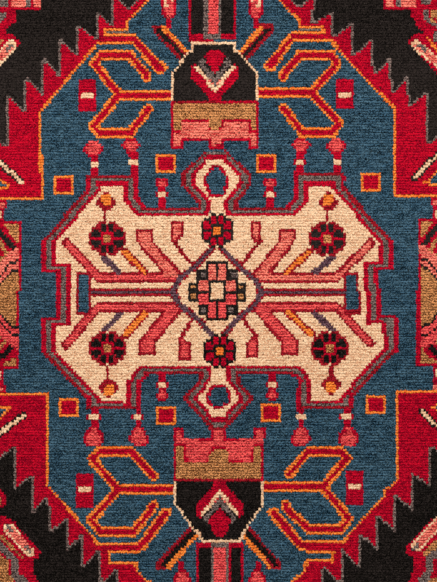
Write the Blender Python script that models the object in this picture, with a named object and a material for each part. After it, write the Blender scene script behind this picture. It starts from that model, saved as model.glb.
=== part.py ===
"""A cut length of a hand-knotted wool rug, lying flat.

The rug is one panel: a cotton foundation of warps and wefts with a wool pile
standing on it. It is modelled as one closed slab, face up, with its length along Y.
The ends are cut along a row of knots and the sides along a warp, so the edges
run nearly straight and wander a little inwards. The pile parts at the rim, which
rounds the upper edge. The underside is flat.

Origin: centre of the underside. +Y is the far end, +Z is up.
"""

import math

import bmesh
import bpy

# ---- driving dimensions, in metres ----
KNOT_WIDTH = 0.00250         # one knot, measured across the rug
ROW_PITCH = 0.00268          # one row of knots with its weft, measured along the rug
KNOTS_ACROSS = 182
ROWS_LONG = 224
FOUNDATION = 0.0028          # thickness of the cotton warps and wefts
PILE = 0.0072                # wool standing above the foundation

CUT_WANDER = 0.0011          # furthest that a cut edge runs inwards
CUT_STEP = 0.025             # spacing of the points along a cut edge
RIM_ROUND = 0.0036           # radius to which the pile parts along its upper edge
RIM_SEGMENTS = 4
CORNER_ROUND = 0.0030        # radius of the four corners, seen from above
CORNER_SEGMENTS = 2

WIDTH = KNOTS_ACROSS * KNOT_WIDTH
LENGTH = ROWS_LONG * ROW_PITCH
THICKNESS = FOUNDATION + PILE

# Each cut edge wanders in two waves: how many along the edge, and where they start.
EDGES = (
    {"name": "near end", "long_waves": 1, "short_waves": 3, "start": 0.4},
    {"name": "right side", "long_waves": 2, "short_waves": 5, "start": 2.1},
    {"name": "far end", "long_waves": 1, "short_waves": 4, "start": 3.3},
    {"name": "left side", "long_waves": 2, "short_waves": 3, "start": 5.0},
)
LONG_WAVE_SHARE = 0.6        # share of the wander that the long wave carries

WOOL_COLOUR = (0.36, 0.03, 0.04, 1.0)
WOOL_ROUGHNESS = 0.95


def clear_scene():
    """Take away every object that the scene starts with."""
    for thing in list(bpy.data.objects):
        bpy.data.objects.remove(thing, do_unlink=True)


def wool_material():
    """Matt, undyed-looking stand-in for the madder red that fills most of the rug."""
    material = bpy.data.materials.new("rug_wool")
    material.use_nodes = True
    shader = material.node_tree.nodes["Principled BSDF"]
    shader.inputs["Base Color"].default_value = WOOL_COLOUR
    shader.inputs["Roughness"].default_value = WOOL_ROUGHNESS
    shader.inputs["Metallic"].default_value = 0.0
    return material


def wander(edge, along):
    """How far the cut runs inwards at a place from 0 to 1 along one edge.

    It is nothing at both corners, so the panel's width and length stay exact.
    """
    long_wave = 0.5 - 0.5 * math.cos(2 * math.pi * edge["long_waves"] * along + edge["start"])
    short_wave = 0.5 - 0.5 * math.cos(2 * math.pi * edge["short_waves"] * along - edge["start"])
    wave = LONG_WAVE_SHARE * long_wave + (1 - LONG_WAVE_SHARE) * short_wave
    fade = math.sin(math.pi * along)
    return CUT_WANDER * wave * fade


def outline():
    """Points round the cut panel, anticlockwise from above, from the near left corner."""
    half_width, half_length = WIDTH / 2, LENGTH / 2
    corners = ((-half_width, -half_length), (half_width, -half_length),
               (half_width, half_length), (-half_width, half_length))
    points = []
    for number, edge in enumerate(EDGES):
        start_x, start_y = corners[number]
        end_x, end_y = corners[(number + 1) % len(corners)]
        run_x, run_y = end_x - start_x, end_y - start_y
        run = math.hypot(run_x, run_y)
        steps = round(run / CUT_STEP)
        for step in range(steps):
            along = step / steps
            inwards = wander(edge, along)
            points.append((start_x + run_x * along - run_y / run * inwards,
                           start_y + run_y * along + run_x / run * inwards))
    return points


def is_corner(edge):
    """True for an upright edge at one of the panel's four corners."""
    first, second = edge.verts
    upright = abs(first.co.z - second.co.z) > THICKNESS / 2
    near_side = abs(abs(first.co.x) - WIDTH / 2) < 1e-6
    near_end = abs(abs(first.co.y) - LENGTH / 2) < 1e-6
    return upright and near_side and near_end


def is_upper_rim(edge):
    """True for an edge of the top face."""
    return all(vert.co.z > THICKNESS - 1e-6 for vert in edge.verts)


def make_rug():
    """One closed panel: the cut outline raised to its thickness, its upper rim rounded."""
    panel = bmesh.new()
    verts = [panel.verts.new((x, y, 0.0)) for x, y in outline()]
    underside = panel.faces.new(verts)
    raised = bmesh.ops.extrude_face_region(panel, geom=[underside], use_keep_orig=True)
    top = [item for item in raised["geom"] if isinstance(item, bmesh.types.BMVert)]
    bmesh.ops.translate(panel, vec=(0.0, 0.0, THICKNESS), verts=top)

    corner_edges = [edge for edge in panel.edges if is_corner(edge)]
    bmesh.ops.bevel(panel, geom=corner_edges, offset=CORNER_ROUND, segments=CORNER_SEGMENTS,
                    profile=0.5, affect="EDGES", clamp_overlap=True)
    rim_edges = [edge for edge in panel.edges if is_upper_rim(edge)]
    bmesh.ops.bevel(panel, geom=rim_edges, offset=RIM_ROUND, segments=RIM_SEGMENTS,
                    profile=0.5, affect="EDGES", clamp_overlap=True)
    bmesh.ops.recalc_face_normals(panel, faces=panel.faces)

    mesh = bpy.data.meshes.new("rug")
    panel.to_mesh(mesh)
    panel.free()
    mesh.materials.append(wool_material())
    rug = bpy.data.objects.new("rug", mesh)
    bpy.context.collection.objects.link(rug)
    return rug


clear_scene()
make_rug()
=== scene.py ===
"""A cut length of a hand-knotted wool rug, dressed knot by knot.

The design is charted first, one dye for every knot. Each knot then gets its own tuft
of two cut yarn ends, so the pattern and its stepped edges come from the knotting, as
they do on the real rug. Under the pile lies the foundation, with the backs of the knots
between its wefts.

Sizes are in metres. Those of the knot chart, and all whose names end in MM, are in
millimetres. +X runs across the rug, +Y is its far end and +Z is up.
"""

import math
from functools import partial

import bmesh
import bpy
import numpy as np
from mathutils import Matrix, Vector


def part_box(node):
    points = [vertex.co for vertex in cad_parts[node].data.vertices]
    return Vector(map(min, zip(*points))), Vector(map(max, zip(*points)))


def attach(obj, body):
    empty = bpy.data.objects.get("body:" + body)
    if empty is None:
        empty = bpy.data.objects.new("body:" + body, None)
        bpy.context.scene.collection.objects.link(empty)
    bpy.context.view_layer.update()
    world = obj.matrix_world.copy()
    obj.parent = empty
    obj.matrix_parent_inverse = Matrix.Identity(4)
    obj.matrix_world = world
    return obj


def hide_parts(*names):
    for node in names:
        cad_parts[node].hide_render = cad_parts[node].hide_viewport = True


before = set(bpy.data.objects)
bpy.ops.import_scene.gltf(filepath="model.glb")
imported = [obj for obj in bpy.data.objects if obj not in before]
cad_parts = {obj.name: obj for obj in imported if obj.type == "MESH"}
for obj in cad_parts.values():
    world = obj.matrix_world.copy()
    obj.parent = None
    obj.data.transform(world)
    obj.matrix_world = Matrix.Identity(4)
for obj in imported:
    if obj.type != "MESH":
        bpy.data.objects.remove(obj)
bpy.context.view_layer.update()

bl_info = {
    "name": "Hand-knotted rug",
    "version": (1, 0, 0),
    "blender": (4, 5, 0),
    "location": "View3D > Sidebar > Rug",
    "description": "Ties a cut length of a village rug, knot by knot, from its chart",
    "category": "Object",
}

# ---------------------------------------------------------------- sizes
LOWEST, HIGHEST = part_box("rug")
THICKNESS = HIGHEST[2] - LOWEST[2]
FOUNDATION = 0.0028     # cotton warps and wefts, under the pile
KNOT_MM = 2.5           # one knot, across the rug
ROW_MM = 2.68           # one row of knots with its wefts, along the rug
KNOT = KNOT_MM / 1000
ROW = ROW_MM / 1000
KNOTS_ACROSS = 182
ROWS_LONG = 224
WIDTH = KNOTS_ACROSS * KNOT_MM / 1000
LENGTH = ROWS_LONG * ROW_MM / 1000
SHOWN_WIDE_MM = 437.0   # the stretch of rug that the photo shows
SHOWN_LONG_MM = 582.0
BESIDE_MM = (KNOTS_ACROSS * KNOT_MM - SHOWN_WIDE_MM) / 2   # the rug past each side of the photo
BEYOND_MM = (ROWS_LONG * ROW_MM - SHOWN_LONG_MM) / 2       # and past its top and bottom

# The cut edges run a little inwards in two waves, and the pile parts along them.
CUT_WANDER = 0.0011
CUT_REACH = 0.02      # about how far in from the edge the knots follow it
RIM_ROUND = 0.0036
PARTING = 0.006       # how far in the pile leans outwards, and how much it does at the edge
PARTING_LEAN = 0.0009
LONG_WAVE_SHARE = 0.6
EDGES = {             # the long waves, the short ones and where they start
    "near end": (1, 3, 0.4),
    "right side": (2, 5, 2.1),
    "far end": (1, 4, 3.3),
    "left side": (2, 3, 5.0),
}

# How the knots differ, as a weaver's hand leaves them.
KNOT_WAVER = (0.00035, 0.00040)     # slow waver of the warps, then of the rows
KNOT_SCATTER = (0.00018, 0.00016)   # and each knot's own, across and along
KNOT_SPREAD = (0.94, 1.08)          # a tuft's width and length, as a share of the usual
KNOT_TURN = 0.10                    # radians
TIP_SCATTER = 0.00018               # how far a tip lies off its place
TIP_FRAY = 0.00034                  # and each corner of the tip
ENDS_APART = 0.00040                # how far the two yarn ends of a knot lie apart, along the rug
ENDS_TONE = 0.10                    # and how much they differ in tone
ROOT_SUNK = 0.0003                  # how deep a root goes into the foundation
NEAREST_CUT = 0.0002                # a tip nearer to the cut than this drops no further

# Over how many rows and how many knots of a row each slow change goes.
WARP_WAVER = (30, 14)
ROW_WAVER = (10, 24)
ROW_ABRASH_RUN = (3, 60)
VAT_RUN = (1.2, 3.0)
VAT_PATCH = (12, 30)
VAT_PATCH_SHARE = 0.6               # its weight, and that of chance, beside the short runs
VAT_CHANCE = 0.7

# A tuft's outline, in shares of a knot's width, a row's length and the tuft's height.
ROOT_SIZE = (0.74, 0.52, 1)
TIP_SIZE = (1.16, 1.26, 1)
PINCH = (1, 0.84, 1)                # between the two yarn ends
CROWN = 0.05

# The back of the foundation.
WEFT_PULL = 0.00045                 # how deep the wefts draw in between two rows
SLAB_INSET = 0.0006                 # how far the slab stays inside the pile

# The bake map: starts and sizes, as shares of it. First the foundation's strips, which
# all run up it, then a tuft's opened flower in its cell and the underside beside it.
STRIP_UP = (0.01, 0.98)
UNDERSIDE_STRIP = (0.005, 0.715)
GROUND_STRIP = (0.735, 0.20)
WALL_STRIP = (0.945, 0.009)
WALL_STEP = 0.013
CELL_TIP = (0.62, 0.52)
CELL_ROOT = (1.22, 1.48)
CELL_DROP = 0.06
CELL_UNDERSIDE = (0.3, 0.12)
CELL_UNDERSIDE_MIDDLE = (0.5, 0.95)

# ---------------------------------------------------------------- the knot chart
DYES = ("madder", "black", "indigo", "cream", "coral", "rose", "orange", "camel", "sage",
        "slate", "oxblood")

# The design is four quarters about an upright middle and a middle row. It is drawn here
# once, for the upper left quarter, in millimetres from the top left of what the photo
# shows. A village weaver works from memory, so each landmark of a motif comes a little
# off its place in the other quarters, and MOTIF_PLACES says where.

# The upright middle leans: (y, x) down the rug.
UPRIGHT_MIDDLE = ((-10, 213.0), (30, 213.2), (60, 214.2), (100, 214.8), (182, 216.2),
                  (231, 216.8), (291, 217.4), (350, 218.5), (398, 219.2), (440, 219.3),
                  (550, 220.5), (592, 220.8))
MIDDLE_ROW = 291.8

# Each landmark's x and y in the upper left, upper right, lower left and lower right.
MOTIF_PLACES = {
    "field corner": (42.5, 199.5, 394.5, 194.5, 47.5, 394, 396.5, 392),
    "field side": (40, 140, 394.5, 140, 47, 450, 396.5, 446),
    "field bend": (40, 112, 395, 109, 46.5, 484, 397.5, 480),
    "field turn": (98, 43, 332, 42.5, 98, 544, 343, 541),
    "slot end low": (105, 35, 323.5, 33, 110.5, 552, 333.5, 551),
    "slot end high": (105, 29, 324, 28, 110.5, 562, 333.5, 562),
    "slot mouth": (127.5, 29, 299.5, 26.5, 135.5, 562, 306.5, 561),
    "ground top": (128, 21, 299.5, 20, 137, 572, 305, 571),
    "finger root high": (134, 35, 292, 33.5, 143, 550.5, 300, 550.5),
    "finger root low": (132, 43, 293, 41.5, 139, 543, 303, 542),
    "finger tip": (162, 71, 269, 68, 168, 511, 271, 511),
    "fork": (119, 94.5, 312, 93, 118.5, 489.5, 323, 487),
    "fork stem": (172, 94.5, 257, 93.5, 175, 488.5, 263, 487),
    "high limb tip": (94, 63.5, 337, 63.7, 91, 520, 349, 519),
    "high limb bend": (101.5, 55.7, 332, 54.8, 101, 532, 341, 529),
    "high limb knee": (131, 55.7, 300, 55, 135, 531, 308, 529),
    "high limb end": (146.5, 77, 283.5, 77, 153, 505.5, 285, 505),
    "low limb tip": (93.5, 126.5, 339, 123.5, 91.5, 459, 347.5, 458),
    "low limb bend": (101, 133.7, 333, 132, 100, 452, 341, 451.9),
    "low limb knee": (130, 133.7, 302, 132.5, 131, 452.5, 309, 451.9),
    "low limb end": (148, 109, 283.5, 108, 153.5, 475.5, 289, 474),
    "wide bar": (88, 95.7, 343.7, 93.5, 85, 491.6, 354.3, 488.3),
    "jar shoulder": (172, 72, 257.5, 72, 175, 503.5, 263.5, 503.5),
    "jar foot": (172, 101, 257.5, 101, 175.5, 481, 263.5, 481),
    "jar mouth": (191.5, 42, 235, 42, 202.5, 541, 239.5, 541),
    "near foot": (177.5, 143, 253.5, 143, 178.5, 433, 259.5, 433),
    "near square": (165, 163.5, 267, 162.7, 165.7, 414.7, 271.5, 414),
    "far square": (64, 185.5, 370.7, 182.5, 67.5, 407, 375.5, 404.5),
    "far bead": (94, 148, 336.5, 145, 93, 437, 347.5, 435.5),
    "far bead block": (94.5, 164, 336.5, 162, 93.5, 416.5, 347, 416),
    "near bead": (132, 147, 300, 145, 137.5, 436, 300, 435.5),
    "near bead block": (133, 162.5, 299, 161.5, 137.5, 416.7, 300, 416),
    "medallion corner": (87.5, 176.5, 342.3, 175, 89, 407.5, 351.5, 407),
    "slant foot": (87.5, 190.5, 342.2, 187.5, 87.6, 398.2, 351.8, 396.4),
    "inner slant foot": (99.5, 188.5, 332.2, 187, 98.8, 400.5, 341, 399),
    "inner corner near": (126.5, 187, 306.5, 186.3, 128.5, 403.2, 308.5, 402),
    "medallion notch": (136.5, 178, 296.8, 176.5, 139.5, 406.3, 299, 406),
    "notch turn": (136.5, 197, 296.5, 197, 139.5, 381, 300, 379),
    "notch floor": (144, 208, 288, 208.3, 147, 373, 291, 372),
    "cartouche neck": (200.5, 208, 234.5, 208, 202, 373, 236, 373),
    "cartouche side": (183.5, 180, 249.5, 180, 185.5, 398, 252.5, 398),
    "cartouche end": (207, 151, 224, 151, 209.5, 427, 227, 427),
    "medallion shoulder": (44, 242, 391.7, 241.6, 43.7, 351, 395.6, 350),
    "inner shoulder": (53.5, 242.5, 382.2, 242, 52.8, 350, 386.5, 348),
    "step out": (44, 270, 392, 268.2, 43.5, 320, 395, 318.3),
    "step in": (58.3, 270, 376, 268.2, 58.3, 320, 377.5, 318.6),
    "coral band": (130, 277.5, 300, 277.5, 130, 307, 300, 307),
    "rosette": (106, 239, 327, 239, 107, 349.5, 329.5, 349),
    "small flower": (105, 199, 327.5, 199, 107.5, 389, 330.5, 388.5),
    "broad hook": (144.5, 231, 287.5, 230, 147.5, 354.5, 290, 354.5),
    "broad hook knee": (138, 242, 293, 243, 140, 341, 298, 341),
    "narrow hook": (176.5, 229.5, 256, 229.5, 185.5, 351, 252, 349),
    "slate bar": (111, 265, 324.5, 265, 113, 322, 324, 322),
    "orange bar": (134, 262, 298.5, 262, 135.5, 325, 301.5, 324),
    "long bar": (66, 242, 371, 242, 65, 345, 371, 344),
    "hanging bead": (161, 190, 270, 190, 161, 389.5, 273.3, 389.5),
    "bud": (169, 12, 256, 12, 181, 571, 259, 571),
    "oblique bar high": (162, 28, 264, 27, 166, 568, 272, 568),
    "oblique bar low": (187, 56, 242, 55, 196, 533, 243, 532),
    "tooth 1": (8.5, 97, 426.5, 94, 14, 488, 430.5, 485),
    "tooth 2": (26, 78.5, 407.5, 78, 33, 511, 413, 509),
    "tooth 3": (43.5, 60.5, 389.5, 60, 50.5, 532, 396, 530),
    "tooth 4": (60, 41, 371.5, 41, 66.5, 550, 378, 549),
    "tooth 5": (78.5, 26.5, 352, 25, 83, 566.5, 360, 567),
    "tooth 6": (97, 13, 332, 13, 101, 583, 341, 583),
    "valley 0": (5, 145, 430, 142, 12, 449.5, 433, 447),
    "valley 1": (23.5, 110, 411, 105, 30, 477, 413, 475),
    "valley 2": (41, 93.5, 394, 91, 46, 498, 397, 496),
    "valley 3": (58.5, 75, 376, 73, 65, 520, 380, 518),
    "valley 4": (75, 55, 355, 54, 81, 536.5, 362, 535),
    "valley 5": (95.5, 39, 335, 35, 99.6, 553, 343, 552),
    "valley 6": (110.5, 25, 314, 22, 116, 571, 325, 570),
    "panel corner": (20.5, 223, 417.5, 221, 21, 366, 420.5, 364),
    "panel side": (20.5, 285, 418, 285, 20.5, 298, 418.5, 298),
    "panel black": (12, 248, 424.5, 244, 10.5, 347, 433, 348),
    "panel coral": (18.2, 248, 420, 246, 19, 350, 422, 346),
    "panel line high": (18, 261.5, 421, 259, 19, 336.5, 422, 335),
    "panel line low": (18, 270, 421, 266.5, 19, 328.5, 422, 326),
    "edge black": (0, 233, 437, 228, 0, 357, 437, 352),
    "edge line high": (0, 275, 437, 270, 0, 323, 437, 327),
    "edge line low": (0, 285, 437, 279, 0, 315, 437, 315),
    "edge coral": (0, 204, 437, 201.5, 0, 389.5, 437, 388),
    "edge cream": (0, 215, 437, 215, 0, 375, 437, 372),
    "stripe end": (21, 181.5, 415, 178, 23, 415.5, 421.5, 411.5),
    "stripe edge": (0, 163.5, 437, 156, 0, 433, 437, 426),
    "blue tip": (8, 187, 425.5, 183.5, 9.5, 408, 433, 407),
    "band end": (91, 289, 344, 289, 91, 294.6, 344, 294.6),
    "jar diamond": (208, 60, 220, 60, 214, 521, 226, 521),
    "head rosette": (200, 231, 233.5, 231, 202, 351.5, 235, 351.5),
    "diamond tip": (213, 249, 221, 249, 213.5, 335.5, 222, 335.5),
    "diamond side": (174, 290, 260.5, 290, 174.5, 294, 260, 294),
    "heart end": (188, 283, 246.6, 283, 188, 300.6, 246.6, 300.6),
    "heart top": (207, 263, 227.5, 263, 207.4, 320.6, 227.8, 320.6),
}
NEAR = 5.0              # within this of a landmark, a motif goes with it alone
THINNER = 1.2           # how much narrower a line at 45 degrees is than an upright one
THINNEST = 1.9          # and the narrowest that stays unbroken
THIN = 4.0              # under this width, and at this slope or less, a line is a single row
LEVEL_SLOPE = 1 / 5
SINGLE_ROW = ROW_MM * 1.01

# How far a motif is drawn past a line where it is cut off anyway.
PAST_EDGE = -14.0       # past the cut side or end
PAST_MIDDLE = 236.0     # past the upright middle
PAST_ROW = 300.0        # past the middle row
FAR_PAST_ROW = 345.0    # the same, where the drift is large


def upright_middle(y):
    rows, places = zip(*UPRIGHT_MIDDLE)
    return np.interp(y, rows, places)


class Chart:
    """A dye for every knot, drawn motif by motif."""

    def __init__(self):
        columns = (np.arange(KNOTS_ACROSS) + 0.5) * KNOT_MM - BESIDE_MM
        rows = (np.arange(ROWS_LONG) + 0.5) * ROW_MM - BEYOND_MM
        self.x, self.y = np.meshgrid(columns, rows)
        self.dye = np.zeros(self.x.shape, int)
        self.whole()

    @property
    def pink(self):
        """The weaver ran out of the orange pink and went on, in the lower half, with a redder bath."""
        return "rose" if self.low else "coral"

    def whole(self):
        """Draw on the whole rug, each point where it is."""
        self.right = self.low = False
        self.open = np.ones(self.x.shape, bool)
        self.fixed = None
        self.drifts = None

    def quarter(self, right, low):
        """Draw in one quarter, turned over from the upper left one."""
        self.right, self.low = right, low
        self.open = ((self.x > upright_middle(self.y)) == right) & ((self.y > MIDDLE_ROW) == low)
        self.fixed = None
        places = np.array(list(MOTIF_PLACES.values()), float).reshape(-1, 4, 2)
        self.marks = places[:, 0]
        turned = np.array([self.turned(x, y) for x, y in self.marks])
        self.drifts = places[:, right + 2 * low] - turned

    def turned(self, x, y):
        row = 2 * MIDDLE_ROW - y if self.low else y
        beside = upright_middle(y) - x
        middle = upright_middle(row)
        return (middle + beside if self.right else middle - beside), row

    def hold(self, *held, odd_across=False, odd_down=False):
        """Move what comes next as one piece; with no place, let go.

        The held place lies between four knots, or on a knot where the piece has an odd count.
        """
        self.fixed = None
        if held:
            x, y = self.place(*held)
            self.held = held
            half_x, half_y = 0.5 * odd_across, 0.5 * odd_down
            self.fixed = ((round((x + BESIDE_MM) / KNOT_MM - half_x) + half_x) * KNOT_MM - BESIDE_MM,
                          (round((y + BEYOND_MM) / ROW_MM - half_y) + half_y) * ROW_MM - BEYOND_MM)

    def place(self, x, y):
        if self.drifts is None:
            return x, y
        if self.fixed:
            return (self.fixed[0] + (self.held[0] - x if self.right else x - self.held[0]),
                    self.fixed[1] + (self.held[1] - y if self.low else y - self.held[1]))
        out_x, out_y = self.turned(x, y)
        far = ((self.marks - (x, y))**2).sum(1)
        weight = (far + NEAR**2)**-2.0
        drift = (self.drifts * weight[:, None]).sum(0) / weight.sum()
        return out_x + drift[0], out_y + drift[1]

    def paint(self, dye, mask):
        self.dye[mask & self.open] = DYES.index(dye)

    def fill(self, dye, corners):
        """A patch inside straight edges."""
        points = [self.place(*corner) for corner in corners]
        inside = np.zeros(self.x.shape, bool)
        for (x0, y0), (x1, y1) in zip(points, points[1:] + points[:1]):
            if y0 != y1:
                crosses = (self.y > y0) != (self.y > y1)
                inside ^= crosses & (self.x < x0 + (self.y - y0) * (x1 - x0) / (y1 - y0))
        self.paint(dye, inside)

    def line(self, dye, corners, width):
        """A line through its corners.

        On a slant it steps by whole knots, so it is thinner there. A thin level line is one row.
        """
        points = [self.place(*corner) for corner in corners]
        for (x0, y0), (x1, y1) in zip(points[:-1], points[1:]):
            run_x, run_y = x1 - x0, y1 - y0
            slant = min(abs(run_x), abs(run_y)) / max(abs(run_x), abs(run_y))
            thick = max(width - THINNER * slant, THINNEST)
            if abs(run_x) * LEVEL_SLOPE > abs(run_y) and width < THIN:
                thick = SINGLE_ROW
            along = ((self.x - x0) * run_x + (self.y - y0) * run_y) / (run_x**2 + run_y**2)
            along = np.clip(along, 0, 1)
            far = np.hypot(self.x - x0 - along * run_x, self.y - y0 - along * run_y)
            self.paint(dye, far <= thick / 2)

    def block(self, dye, left, top, right, bottom):
        (x0, y0), (x1, y1) = self.place(left, top), self.place(right, bottom)
        self.paint(dye, (self.x >= min(x0, x1)) & (self.x <= max(x0, x1))
                   & (self.y >= min(y0, y1)) & (self.y <= max(y0, y1)))

    def figure(self, rows, x, y):
        """A small figure, charted as one quarter of it from its middle knot outwards."""
        middle_column = round((x + BESIDE_MM) / KNOT_MM - 0.5)
        middle_row = round((y + BEYOND_MM) / ROW_MM - 0.5)
        for down, letters in enumerate(rows):
            for across, letter in enumerate(letters):
                if letter != ".":
                    above_and_below = (middle_row - down, middle_row + down)
                    both_sides = (middle_column - across, middle_column + across)
                    self.dye[np.ix_(above_and_below, both_sides)] = DYES.index(LETTERS[letter])

    def spot(self, dye, x, y, half_wide, half_long):
        x, y = self.place(x, y)
        self.paint(dye, ((self.x - x) / half_wide)**2 + ((self.y - y) / half_long)**2 <= 1)


LETTERS = {"m": "madder", "k": "black", "w": "cream", "o": "orange", "b": "camel", "x": "oxblood"}
ROSETTE = ("bbmmmmmx",
           "bbmkkkkx",
           "mmmkkkkx",
           "mkkxkkx.",
           "mkkxxxx.",
           "mkkxx...",
           "wxxx....")
HEAD_ROSETTE = ("ookkkkk",
                "ookmmmk",
                "kkkmmmk",
                "kmmkmmk",
                "kmmkkk.",
                "kmmk...",
                "wkk....")
ROSETTE_PLACES = ((106, 240), (327, 240), (107.5, 349), (329.5, 349))
HEAD_PLACES = ((216.8, 230.5), (219, 351))

# Each tooth of the corner ground: its tip, then the valley after it.
TEETH = ((8.5, 97, 23.5, 110), (26, 78.5, 41, 93.5), (43.5, 60.5, 58.5, 75), (60, 41, 75, 55),
         (78.5, 26.5, 95.5, 39), (97, 13, 110.5, 25), (113, -4, 127, 8))
TIP_FLAT, VALLEY_FLAT = 1.5, 2.0


# Each motif below is drawn on the chart c, in the quarter that is open. Where the weaver
# made it differently in another quarter, c.low and c.right say which one it is.
def corner_ground(c):
    edge = [(PAST_EDGE, 128), (4, 145.5), (7.5, 145.5)]
    for tip_x, tip_y, valley_x, valley_y in TEETH:
        edge += [(tip_x, tip_y), (tip_x + TIP_FLAT, tip_y)]
        edge += [(valley_x, valley_y), (valley_x + VALLEY_FLAT, valley_y)]
    edge += [(150, PAST_EDGE)]
    c.fill("black", edge + [(PAST_EDGE, PAST_EDGE)])
    c.line("sage", edge, 2.6)


FIELD_EDGE = [(160, PAST_EDGE), (147, 0), (128, 21), (127.5, 29), (105, 29), (105, 35), (134, 35),
              (166, 67), (163, 72), (157, 72), (132, 43), (98, 43), (85, 58), (40, 112), (40, 140),
              (42.5, 199.5), (PAST_EDGE, 199.5)]


def field(c):
    c.fill("indigo", FIELD_EDGE + [(PAST_EDGE, FAR_PAST_ROW), (PAST_MIDDLE, FAR_PAST_ROW),
                                   (PAST_MIDDLE, PAST_EDGE)])
    if not c.low:
        c.block("sage", 106, 29, 127.5, 36)
    c.line("orange", FIELD_EDGE[:5], 3.4)
    c.line("orange", FIELD_EDGE[4:6], 2.6)
    c.line("orange", FIELD_EDGE[5:], 3.4)


FORK = ([(174, 94.5), (119, 94.5)],
        [(119, 94.5), (94, 63.5), (101.5, 55.7), (130, 55.7), (144.5, 72), (146.5, 77)],
        [(119, 94.5), (93.5, 126.5), (101, 133.7), (130, 133.7), (148, 109)])


def fork(c):
    for limb in FORK:
        c.line("orange", limb, 10.6)
    for limb in FORK:
        c.line("madder", limb, 5.6)


def wide_bar(c):
    half = 17.3 if c.low else 15.2 if c.right else 16.0
    c.hold(88, 95.7, odd_across=True, odd_down=c.low or c.right)
    c.block("madder", 79.5, 95.7 - half, 96.5, 95.7 + half)
    cream = 94.5 if c.low else 94 if c.right else 92
    c.block("cream", 81, cream, 94.5, cream + 5.2)


def bud(c):
    c.hold(169, 12)
    if c.low:
        c.fill("madder", [(160.5, PAST_EDGE), (160.5, 3), (163, 9), (167, 16), (167.5, 22), (171.5, 22),
                          (172, 16), (176.5, 9), (179, 3), (179, PAST_EDGE)])
        c.fill("rose", [(163, PAST_EDGE), (163, 3), (167, 11.5), (172.5, 11.5), (176.5, 3),
                        (176.5, PAST_EDGE)])
    else:
        c.block("madder", 167, 18, 171.5, 27)
        c.fill("madder", [(161, PAST_EDGE), (161, 10), (166, 20), (172, 20), (177.5, 10),
                          (177.5, PAST_EDGE)])
        c.fill("rose", [(163.3, PAST_EDGE), (163.3, 10), (168, 18), (170.5, 18), (175, 10),
                        (175, PAST_EDGE)])
        c.fill("cream", [(163.3, PAST_EDGE), (163.3, 3), (166.7, 8.5), (169, 6), (166, 1),
                         (166, PAST_EDGE)])
        c.block("cream", 170.5, PAST_EDGE, 173, 2)


def oblique_bar(c):
    c.block("oxblood", 151.5, 24.5, 167, 29)
    c.line("oxblood", [(158, 30.5), (187, 59.5)], 11.8)
    c.line("black", [(158.5, 31), (187.5, 60)], 5.8)
    c.line("orange", [(164, 28.5), (194, 58.5)], 5.8)


def jar(c):
    out = 2.2 if c.low else 0
    c.block("madder", 188.5 - out, PAST_EDGE, PAST_MIDDLE, 40.5)
    c.block("black", 191.3 - out, PAST_EDGE, 201.8 - out if c.low else 206, 35)
    c.block("sage", 204.2 - out, PAST_EDGE, PAST_MIDDLE, 39)
    c.block("rose", 207.5 - out, PAST_EDGE, PAST_MIDDLE, 34.5)
    neck = (189.4, 50.8) if c.low else (191.5, 50)
    c.fill("black", [(192, 42), neck, (172, 72), (172, 101), (PAST_MIDDLE, 101), (PAST_MIDDLE, 42)])
    c.hold(208, 60)
    c.fill("madder", [(193, 63), (189, 71), (190.5, 77), (207.5, 97), (208, 102), (PAST_MIDDLE, 102),
                      (PAST_MIDDLE, 88), (214, 88), (196.5, 64)])
    c.fill("sage", [(199, 59), (203, 58.5), (214.5, 76), (PAST_MIDDLE, 76), (PAST_MIDDLE, 86),
                    (214.5, 86), (199, 64)])
    c.line("black", [(203.5, 63), (209.5, 69.5)], 3.2)
    head = [(211, 43.5), (206.5, 51), (203.8, 59), (204.5, 63.5)] if c.low else [(208, 48.8), (203.5, 57)]
    c.fill("madder", head + [(213.8, 73), (PAST_MIDDLE, 73), (PAST_MIDDLE, head[0][1])])
    c.line(c.pink, [(198.5, 67.5), (213.5, 86.5)], 2.4)
    c.line("cream", [(197.3, 67.5) if c.low else (195.8, 66), (214, 89.5)], 4.6)
    c.hold()
    c.line("cream", [(172, 101.5), (172, 72), neck], 2.55)
    c.hold(191.5, 42, odd_across=True, odd_down=True)
    if c.low:
        c.line("cream", [(187.3, 51.5), (191.5, 42)], 3.6)
    else:
        c.line("cream", [neck, (191.5, 42)], 2.55)
    c.line("cream", [(191.5, 42), (PAST_MIDDLE, 42)], 2.55)


def stand(c):
    top, column, hump = (119, 183, 205.5) if c.low else (121.5, 180, 207.5)
    c.block("madder", 171.2, 101, PAST_MIDDLE, 139.8)
    c.block("madder", 171.2, 139, 183, 148)
    c.block("madder", 207.5, 139, PAST_MIDDLE, 147.5 if c.low else 148.2)
    c.block("oxblood", 174, 100, PAST_MIDDLE, 102.2)
    c.block("camel", 173.8, 102.2, PAST_MIDDLE, 118.7)
    c.block("camel", 173.8, 118, column, 129.5)
    c.fill(c.pink, [(column + 2.3, top), (hump, top), (hump, 126), (210, 131.5), (PAST_MIDDLE, 131.5),
                    (PAST_MIDDLE, 137.5), (174.3, 137.5), (174.3, 131.7), (column + 1, 131.7)])
    c.fill("camel", [(hump + 1, 118), (PAST_MIDDLE, 118), (PAST_MIDDLE, 130.5), (211.5, 130.5),
                     (hump + 1, 125)])
    c.block(c.pink, 174.3, 137, 180.8, 145.5)
    c.block(c.pink, 209.8, 137, PAST_MIDDLE, 149 if c.low else 145)


def squares(c):
    for x, y in ((64.2, 185.6), (165.1, 163.4)):
        c.hold(x, y, odd_down=True)
        c.block("orange", x - 9.4, y - 9.2, x + 9.4, y + 9.2)
        c.block("madder", x - 6.9, y - 6.6, x + 6.9, y + 6.6)


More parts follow.
